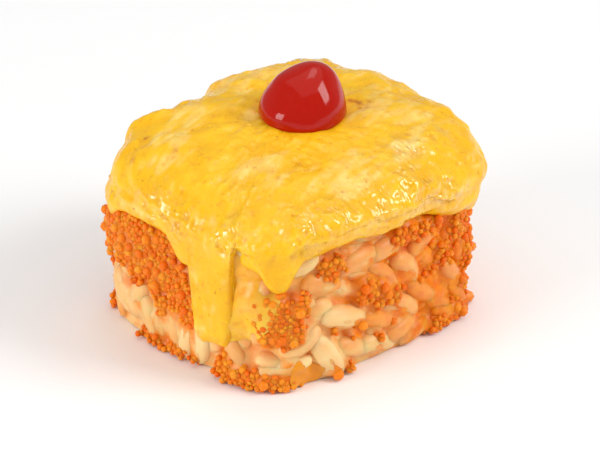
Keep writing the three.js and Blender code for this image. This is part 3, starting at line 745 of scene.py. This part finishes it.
# table blurred by a bell of a width in millimetres, round the side and then up it
def soften(table, width):
    half = int(np.ceil(2.5 * width / cell))
    steps = np.arange(-half, half + 1)
    bell = np.exp(-0.5 * (steps * cell / width) ** 2)
    bell /= bell.sum()
    table = sum(np.roll(table, step, axis=0) * share for step, share in zip(steps, bell))
    columns = table.shape[1]
    padded = np.pad(table, ((0, 0), (half, half)), mode="edge")
    return sum(padded[:, half + step:half + step + columns] * share for step, share in zip(steps, bell))


# value of a table between its four nearest cells
def tableAt(table, reach, z):
    rows, columns = table.shape
    row, column = np.broadcast_arrays(np.mod(reach / cell, rows), np.clip(z / cell, 0, columns - 1.001))
    i, j = row.astype(int) % rows, column.astype(int)
    after, share = (i + 1) % rows, row - row.astype(int)
    lower = mix(table[i, j], table[after, j], share)
    upper = mix(table[i, j + 1], table[after, j + 1], share)
    return mix(lower, upper, column - j)


# eggs settle on the grains and on one another: each lands at the table's height, less its sink, and raises it
def throwRoe(rng, table):
    eggs = []
    alone = [(toReach(math.radians(at)), z, radius) for at, z, radius in loneEggs]
    for _ in range(roe["tries"]):
        if alone:
            reach, z, radius = alone.pop()
        else:
            reach, z = rng.uniform(0, roundCore), rng.uniform(0.3, 19.0)
            angle = toAngle(reach)
            if rng.uniform() > roeShare(angle, z):
                continue
            crowded = rng.uniform() < 1 - roe["singleShare"]
            radius = rng.uniform(roe["smallest"], roe["largest"]) if crowded else roe["single"]
            if z + radius > rimHeight(angle) + 0.8:
                continue
        ground = table[int(reach / cell) % table.shape[0], min(int(z / cell), table.shape[1] - 1)]
        if ground > roe["highest"] + 0.4 * (radius == roe["single"]):
            continue
        lift = ground + radius * (1 - roe["sink"])
        eggs.append((reach, max(z, radius + 0.02), lift, radius))
        stamp(table, reach, z, (radius, radius, radius), 0.0, lift + radius)
        if len(eggs) >= roe["count"]:
            break
    return np.array(eggs)


# flying-fish roe: tiny wet eggs, orange and see-through, so they glow a little at their edges
def flyingFishRoe():
    material, tree, shader = newMaterial("flyingFishRoe")
    tint = addNode(tree, "Attribute", output="Fac", attribute_name="tint")
    fill(tree, shader, {
        "Base Color": layColours(tree, roe["deepOrange"], (tint, roe["paleOrange"])),
        "Roughness": 0.36, "IOR": 1.36, "Specular IOR Level": 0.35,
        "Subsurface Weight": 0.5, "Subsurface Radius": (1.0, 0.4, 0.08), "Subsurface Scale": 0.8 * mm})
    return material


print("roe")
heights = np.full((round(roundCore / cell), int(21 / cell)), -0.4)   # up to 21 mm, bare bed at -0.4
for reach, z, slope, length, width, lift, _ in sideGrains:
    thick = 0.5 * rice["thickness"] * width / rice["width"]
    stamp(heights, reach, z, (length / 2, width / 2, thick), math.radians(slope), lift + thick)
bare = heights.copy()
eggs = throwRoe(rng, heights)
at, _, out = sideFrame(eggs[:, 0], eggs[:, 1])
centres = at + eggs[:, 2, None] * out
centres[:, 2] = np.maximum(centres[:, 2], eggs[:, 3] + 0.02)
egg, eggFaces = ballMesh(roe["sides"], roe["rings"], 1.0)
turns = unit(rng.normal(size=(len(eggs), 3)))   # each egg is turned its own way
other = unit(np.cross(turns, out))
basis = np.stack([turns, other, np.cross(turns, other)], axis=1)
eggPoints = centres[:, None] + (egg @ basis) * eggs[:, 3, None, None]
tint = np.repeat(rng.uniform(0, 1, len(eggs)) ** 1.5, len(egg))
makePiece("roeEggs", eggPoints.reshape(-1, 3), repeatFaces(eggFaces, len(egg), len(eggs)), {"tint": tint},
          flyingFishRoe(), "rice_block")

# bed of packed rice: a rounded top edge, the side with the softened heights of all on it, a flat foot
print("bed")
roeSpread = soften((heights > bare).astype(float), 0.4)
relief = soften(heights, rice["softened"]) - rice["sunk"] - 0.14 * roeSpread
bedReach = np.arange(rice["bedColumns"]) / rice["bedColumns"] * roundCore
bedAngles = toAngle(bedReach)
bend = np.linspace(np.pi / 2, 0, 8)[:, None]
edgeRadius = outline(bedAngles) - core["edgeRound"] * (1 - np.cos(bend))
edgeZ = core["height"] - core["edgeRound"] * (1 - np.sin(bend))
middle = ringPoints(bedAngles, 0.0, edgeZ[:1])
edge = ringPoints(bedAngles, edgeRadius, edgeZ)
sideZ = np.linspace(rice["bedTop"], 0.3, rice["bedRows"])[:, None]
side, _, out = sideFrame(bedReach, sideZ)
raised = tableAt(relief, bedReach, sideZ) * ease(sideZ, rice["bedTop"], 19.5) * ease(sideZ, -0.6, 1.0)
side = side + raised[..., None] * out
feet = np.stack([side[-1] * (share, share, 0) + (0, 0, 0.1) for share in (0.99, 0.93, 0.75, 0.5, 0.25, 0)])
bed = np.vstack([middle, edge, side, feet])
bedRoe = np.zeros(bed.shape[:2])
bedRoe[1 + len(edge):-len(feet)] = tableAt(roeSpread, bedReach, sideZ)   # orange between the eggs
makeRingPiece("riceBed", bed, {"stain": np.clip(stainShare(bed) + 0.1, 0, 1), "roe": bedRoe,
                               "tone": np.full(bed.shape[:2], rice["bedTone"])}, riceMaterial, "rice_block")


# thin sauce between the long run and the lobe, and what has seeped out at the foot
film = dict(columns=110, rows=44, thickness=0.5, softened=0.45,
            thickAngle=206.5,   # where it is thickest, beside the long run
            # the golden colour is painted shadow under the cap's lip
            yellow="#FBC632", lipShadowGolden="#F4AE24", milky="#F4BE58", orange="#E8921C", seeped="#EC9418")

# corners of the two puddles: compass angle and height
puddles = [[(199.5, 17.6), (206, 19.2), (211.2, 19.2), (215.5, 18.8), (219.5, 17.4), (221.6, 13.2),
            (220.7, 10.7), (219.0, 8.8), (214.5, 7.3), (210.0, 6.0), (205.0, 5.4), (200.5, 6.2),
            (198.5, 10.4)],
           [(227.3, 4.3), (231.5, 3.3), (237.2, 0.3), (231.6, 0.15), (226.5, 0.2), (226.1, 2.7)]]


# puddle on the side: middle plus a share of the way to its softened outline, round-edged, over the ground
def puddleGrid(corners, ground):
    corners = np.array([(toReach(math.radians(at)), z) for at, z in corners])
    middle = corners.mean(axis=0)
    turn = np.arange(film["columns"]) / film["columns"] * 2 * np.pi - np.pi
    cornersOut = np.linalg.norm(corners - middle, axis=1)
    edge = np.interp(turn, angleOf(corners - middle), cornersOut, period=2 * np.pi)
    edge = sum(np.roll(edge, step) for step in range(-3, 4)) / 7
    edge = edge * (1 + 0.04 * np.sin(5 * turn + 1) + 0.04 * np.sin(8 * turn))
    swing = np.linspace(0, np.pi, film["rows"])[:, None]
    share = np.sin(swing) ** 0.8 * edge
    reach, z = middle[0] + share * np.cos(turn), np.maximum(0.1, middle[1] + share * np.sin(turn))
    away = apart(toAngle(reach), film["thickAngle"])
    thicker = 1 + 1.4 * hump(away, 4) - 0.7 * ease(away, 6.5, 13.5) * (1 - ease(away, 17.5, 18.5))
    rise = np.clip(np.cos(swing), 0, 1) ** 0.8 * film["thickness"] * thicker
    rise = rise - 0.1 - 0.5 * ease(swing, 1.57, 2.2)   # the edge and the underside lie in the rice
    at, _, out = sideFrame(reach, z)
    return at + (tableAt(ground, reach, z) + rise)[..., None] * out


# the same sauce run thin: smoother, and warmer because the rice shows through it, with painted shadow at its
# top under the cap's lip
def thinCheeseSauce():
    material, tree, shader = newMaterial("thinCheeseSauce")
    height, seep = (addNode(tree, "Attribute", output="Fac", attribute_name=name)
                    for name in ("height", "seep"))
    relief = speckle(tree, 1.2, 0.2, 0.8)
    fill(tree, shader, {
        # golden towards the top: painted shadow under the cap's lip
        "Base Color": layColours(tree, film["yellow"], (height, film["lipShadowGolden"]),
                                 (speckle(tree, 1.8, 0.45, 0.7, most=0.6), film["milky"]),
                                 (speckle(tree, 1.2, 0.5, 0.7, most=0.6), film["orange"]),
                                 (seep, film["seeped"])),
        "Normal": addNode(tree, "Bump", {"Height": relief, "Distance": 0.1 * mm, "Strength": 0.5}),
        "Roughness": 0.3, "IOR": 1.42,
        "Subsurface Weight": 0.3, "Subsurface Radius": (1.0, 0.6, 0.12), "Subsurface Scale": 1.6 * mm})
    return material


print("film")
ground = soften(heights, film["softened"])
filmPoints = np.vstack([ringList(puddleGrid(corners, ground)) for corners in puddles])
puddleSize = len(filmPoints) // len(puddles)
filmFaces = repeatFaces(ringFaces(film["rows"], film["columns"]), puddleSize, len(puddles))
# the height share turns the film golden towards its top, where the cap's lip hangs over it: painted shadow
makePiece("sauceFilm", filmPoints, filmFaces, {"height": ease(filmPoints[:, 2], 8, 15),
                                               "seep": np.repeat([0.0, 1.0], puddleSize)},
          thinCheeseSauce(), "sauce_cap")


# pale table
print("table")
tableMesh = bpy.data.meshes.new("table")
tableMesh.from_pydata([(-2, -2, 0), (2, -2, 0), (2, 2, 0), (-2, 2, 0)], [], [(0, 1, 2, 3)])
table = bpy.data.objects.new("table", tableMesh)
bpy.context.scene.collection.objects.link(table)
tableMaterial, tree, shader = newMaterial("whiteLaminate")   # plain matt white, so the piece stands alone
fill(tree, shader, {"Base Color": hexToLinear("#FBFBFB"), "Roughness": 0.9, "Specular IOR Level": 0.1})
tableMesh.materials.append(tableMaterial)

# where the photo was taken from, over the front corner; the aim is in mm right and up in the picture
view = dict(azimuth=43, elevation=28, distance=0.40, lens=178, aimRight=0.9, aimUp=10.9)

# soft boxes: degrees to the camera's right, degrees up, distance and size in metres, watts
boxes = dict(overhead=(20, 84, 0.9, 1.6, 4.6), left=(-58, 16, 0.8, 0.36, 3.3), right=(76, 34, 0.8, 0.36, 3.3),
             behind=(172, 72, 0.9, 0.3, 0.6))
boxAim = np.array([0, 0, 0.015])


# direction from the piece: azimuth in degrees from -Y towards -X, and degrees up
def wayTo(azimuth, elevation):
    around, up = math.radians(azimuth), math.radians(elevation)
    return np.array([-math.sin(around) * math.cos(up), -math.cos(around) * math.cos(up), math.sin(up)])


# rotation that looks along a direction with up kept upright
def lookAlong(direction):
    back = unit(-direction)
    side = unit(np.cross((0, 0, 1), back))
    return mathutils.Matrix(np.column_stack([side, np.cross(back, side), back]).tolist()).to_euler()


print("camera and lights")
towards = wayTo(view["azimuth"], view["elevation"])
right = unit(np.cross((0, 0, 1), towards))
aim = (right * view["aimRight"] + np.cross(towards, right) * view["aimUp"]) * mm
cameraData = bpy.data.cameras.new("camera")
cameraData.lens = view["lens"]
cameraData.clip_start = 0.01
camera = bpy.data.objects.new("camera", cameraData)
camera.location = towards * view["distance"]
camera.rotation_euler = lookAlong(aim - np.array(camera.location))
bpy.context.scene.collection.objects.link(camera)
bpy.context.scene.camera = camera

for name, (turn, height, far, size, watts) in boxes.items():
    light = bpy.data.lights.new(name, "AREA")
    light.size = size
    light.energy = watts
    lamp = bpy.data.objects.new(name, light)
    away = wayTo(view["azimuth"] - turn, height) * far
    lamp.location = boxAim + away
    lamp.rotation_euler = lookAlong(-away)
    bpy.context.scene.collection.objects.link(lamp)

world = bpy.data.worlds.new("studio")
world.use_nodes = True
world.node_tree.nodes["Background"].inputs["Color"].default_value = (1, 1, 1, 1)
world.node_tree.nodes["Background"].inputs["Strength"].default_value = 0.33
bpy.context.scene.world = world
bpy.context.scene.view_settings.view_transform = "Standard"
